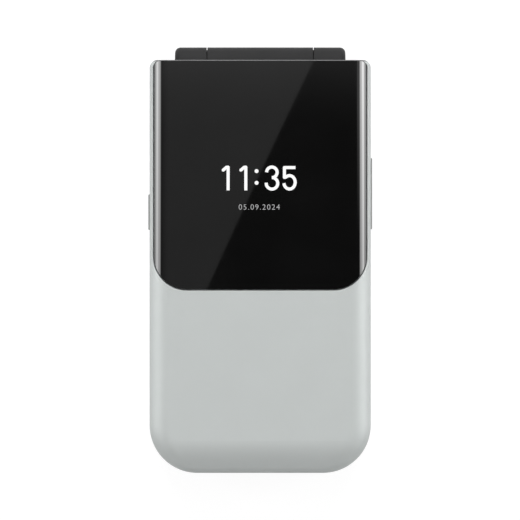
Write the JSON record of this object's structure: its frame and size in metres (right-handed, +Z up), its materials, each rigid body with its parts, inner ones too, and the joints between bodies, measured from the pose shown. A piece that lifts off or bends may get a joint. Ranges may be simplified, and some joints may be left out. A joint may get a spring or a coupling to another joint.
{
  "type": "flip phone",
  "caption": "Flip mobile phone with a small outer display in a glossy window, folded on a barrel hinge over a keypad base.",
  "frame": {"origin": "middle of the back that the closed phone lies on", "axes": "+X across the width, +Y along the length towards the hinge, +Z up out of the lid's front"},
  "size_m": [0.0552, 0.1048, 0.0187],
  "materials": {
    "light_shell": "fine satin, painted light grey",
    "dark_frame": "charcoal satin",
    "black_window": "polished black",
    "inner_glass": "polished, dark",
    "camera_glass": "polished, dark",
    "flash_plastic": "clear, warm white",
    "display": "display module",
    "rubber": "soft black",
    "silicone": "translucent grey silicone",
    "dome_film": "polyester film",
    "circuit_board": "green solder mask",
    "black_plastic": "moulded black",
    "mesh": "blackened woven steel",
    "steel": "bright steel",
    "magnet": "plated",
    "screw_steel": "blackened steel",
    "flex_film": "amber polyimide",
    "battery_wrap": "dark label film, plain",
    "shield_tin": "tinned steel",
    "key_plastic": "black satin",
    "side_key_plastic": "grey satin"
  },
  "bodies": {
    "base": {"keypad_frame": "dark_frame", "base_rear_housing": "light_shell", "keypad_mat": "silicone", "dome_sheet": "dome_film", "battery": "battery_wrap", "battery_contacts": "black_plastic", "sim_socket": "steel", "board_shield": "shield_tin", "main_board": "circuit_board", "microphone": "black_plastic", "antenna": "black_plastic", "base_screws": "screw_steel", "rear_camera": "black_plastic", "camera_window": "camera_glass", "flash_lens": "flash_plastic", "loudspeaker": "black_plastic", "headphone_socket": "black_plastic", "usb_socket": "steel", "hinge_cam_shaft": "steel", "hinge_bush": "steel", "hinge_caps": "dark_frame"},
    "lid": {"lid_outer_shell": "light_shell", "outer_window": "black_window", "outer_display": "display", "lid_inner_frame": "dark_frame", "main_window": "inner_glass", "main_display": "display", "lid_board": "circuit_board", "earpiece": "black_plastic", "earpiece_mesh": "mesh", "vibration_motor": "steel", "lid_magnet": "magnet", "lid_bumpers": "rubber", "lid_screws": "screw_steel", "lid_screw_plugs": "dark_frame", "hinge_cartridge": "steel", "hinge_springs": "steel", "hinge_flex": "flex_film"},
    "cover": {"battery_cover": "light_shell"},
    "gimbal": {"ring_gimbal": "steel"},
    "ring": {"scroll_ring": "key_plastic"},
    "select_key": {"select_key": "key_plastic"},
    "volume_rocker": {"volume_rocker": "side_key_plastic"},
    "side_key": {"side_key": "side_key_plastic"},
    "soft_key_left": {"soft_key_left": "key_plastic"},
    "soft_key_right": {"soft_key_right": "key_plastic"},
    "call_key": {"call_key": "key_plastic"},
    "end_key": {"end_key": "key_plastic"},
    "key_1": {"key_1": "key_plastic"},
    "key_2": {"key_2": "key_plastic"},
    "key_3": {"key_3": "key_plastic"},
    "key_4": {"key_4": "key_plastic"},
    "key_5": {"key_5": "key_plastic"},
    "key_6": {"key_6": "key_plastic"},
    "key_7": {"key_7": "key_plastic"},
    "key_8": {"key_8": "key_plastic"},
    "key_9": {"key_9": "key_plastic"},
    "key_star": {"key_star": "key_plastic"},
    "key_0": {"key_0": "key_plastic"},
    "key_hash": {"key_hash": "key_plastic"}
  },
  "joints": [
    {"name": "lid_hinge", "type": "hinge", "parent": "base", "child": "lid", "pos_m": [0, 0.0474, 0.01], "axis": [-1, 0, 0], "range_deg": [0, 160]},
    {"name": "cover_slide", "type": "slide", "parent": "base", "child": "cover", "axis": [0, -1, 0], "range_m": [0, 0.004]},
    {"name": "ring_tilt_up_down", "type": "hinge", "parent": "base", "child": "gimbal", "pos_m": [0, 0.0236, 0.0096], "axis": [1, 0, 0], "range_deg": [-1.5, 1.5], "stiffness_Nm_per_rad": 0.6},
    {"name": "ring_tilt_left_right", "type": "hinge", "parent": "gimbal", "child": "ring", "pos_m": [0, 0.0236, 0.0096], "axis": [0, 1, 0], "range_deg": [-1.5, 1.5], "stiffness_Nm_per_rad": 0.6},
    {"name": "select_key_press", "type": "slide", "parent": "base", "child": "select_key", "axis": [0, 0, -1], "range_m": [0, 0.0003], "stiffness_N_per_m": 4000},
    {"name": "volume_rocker_tilt", "type": "hinge", "parent": "base", "child": "volume_rocker", "pos_m": [0.02515, 0.01635, 0.0082], "axis": [0, 0, 1], "range_deg": [-1.6, 1.6], "stiffness_Nm_per_rad": 0.6},
    {"name": "side_key_press", "type": "slide", "parent": "base", "child": "side_key", "axis": [1, 0, 0], "range_m": [0, 0.00025], "stiffness_N_per_m": 4000},
    {"name": "soft_key_left_press", "type": "slide", "parent": "base", "child": "soft_key_left", "axis": [0, 0, -1], "range_m": [0, 0.00035], "stiffness_N_per_m": 4000},
    {"name": "soft_key_right_press", "type": "slide", "parent": "base", "child": "soft_key_right", "axis": [0, 0, -1], "range_m": [0, 0.00035], "stiffness_N_per_m": 4000},
    {"name": "call_key_press", "type": "slide", "parent": "base", "child": "call_key", "axis": [0, 0, -1], "range_m": [0, 0.00035], "stiffness_N_per_m": 4000},
    {"name": "end_key_press", "type": "slide", "parent": "base", "child": "end_key", "axis": [0, 0, -1], "range_m": [0, 0.00035], "stiffness_N_per_m": 4000},
    {"name": "key_1_press", "type": "slide", "parent": "base", "child": "key_1", "axis": [0, 0, -1], "range_m": [0, 0.00035], "stiffness_N_per_m": 4000},
    {"name": "key_2_press", "type": "slide", "parent": "base", "child": "key_2", "axis": [0, 0, -1], "range_m": [0, 0.00035], "stiffness_N_per_m": 4000},
    {"name": "key_3_press", "type": "slide", "parent": "base", "child": "key_3", "axis": [0, 0, -1], "range_m": [0, 0.00035], "stiffness_N_per_m": 4000},
    {"name": "key_4_press", "type": "slide", "parent": "base", "child": "key_4", "axis": [0, 0, -1], "range_m": [0, 0.00035], "stiffness_N_per_m": 4000},
    {"name": "key_5_press", "type": "slide", "parent": "base", "child": "key_5", "axis": [0, 0, -1], "range_m": [0, 0.00035], "stiffness_N_per_m": 4000},
    {"name": "key_6_press", "type": "slide", "parent": "base", "child": "key_6", "axis": [0, 0, -1], "range_m": [0, 0.00035], "stiffness_N_per_m": 4000},
    {"name": "key_7_press", "type": "slide", "parent": "base", "child": "key_7", "axis": [0, 0, -1], "range_m": [0, 0.00035], "stiffness_N_per_m": 4000},
    {"name": "key_8_press", "type": "slide", "parent": "base", "child": "key_8", "axis": [0, 0, -1], "range_m": [0, 0.00035], "stiffness_N_per_m": 4000},
    {"name": "key_9_press", "type": "slide", "parent": "base", "child": "key_9", "axis": [0, 0, -1], "range_m": [0, 0.00035], "stiffness_N_per_m": 4000},
    {"name": "key_star_press", "type": "slide", "parent": "base", "child": "key_star", "axis": [0, 0, -1], "range_m": [0, 0.00035], "stiffness_N_per_m": 4000},
    {"name": "key_0_press", "type": "slide", "parent": "base", "child": "key_0", "axis": [0, 0, -1], "range_m": [0, 0.00035], "stiffness_N_per_m": 4000},
    {"name": "key_hash_press", "type": "slide", "parent": "base", "child": "key_hash", "axis": [0, 0, -1], "range_m": [0, 0.00035], "stiffness_N_per_m": 4000}
  ]
}
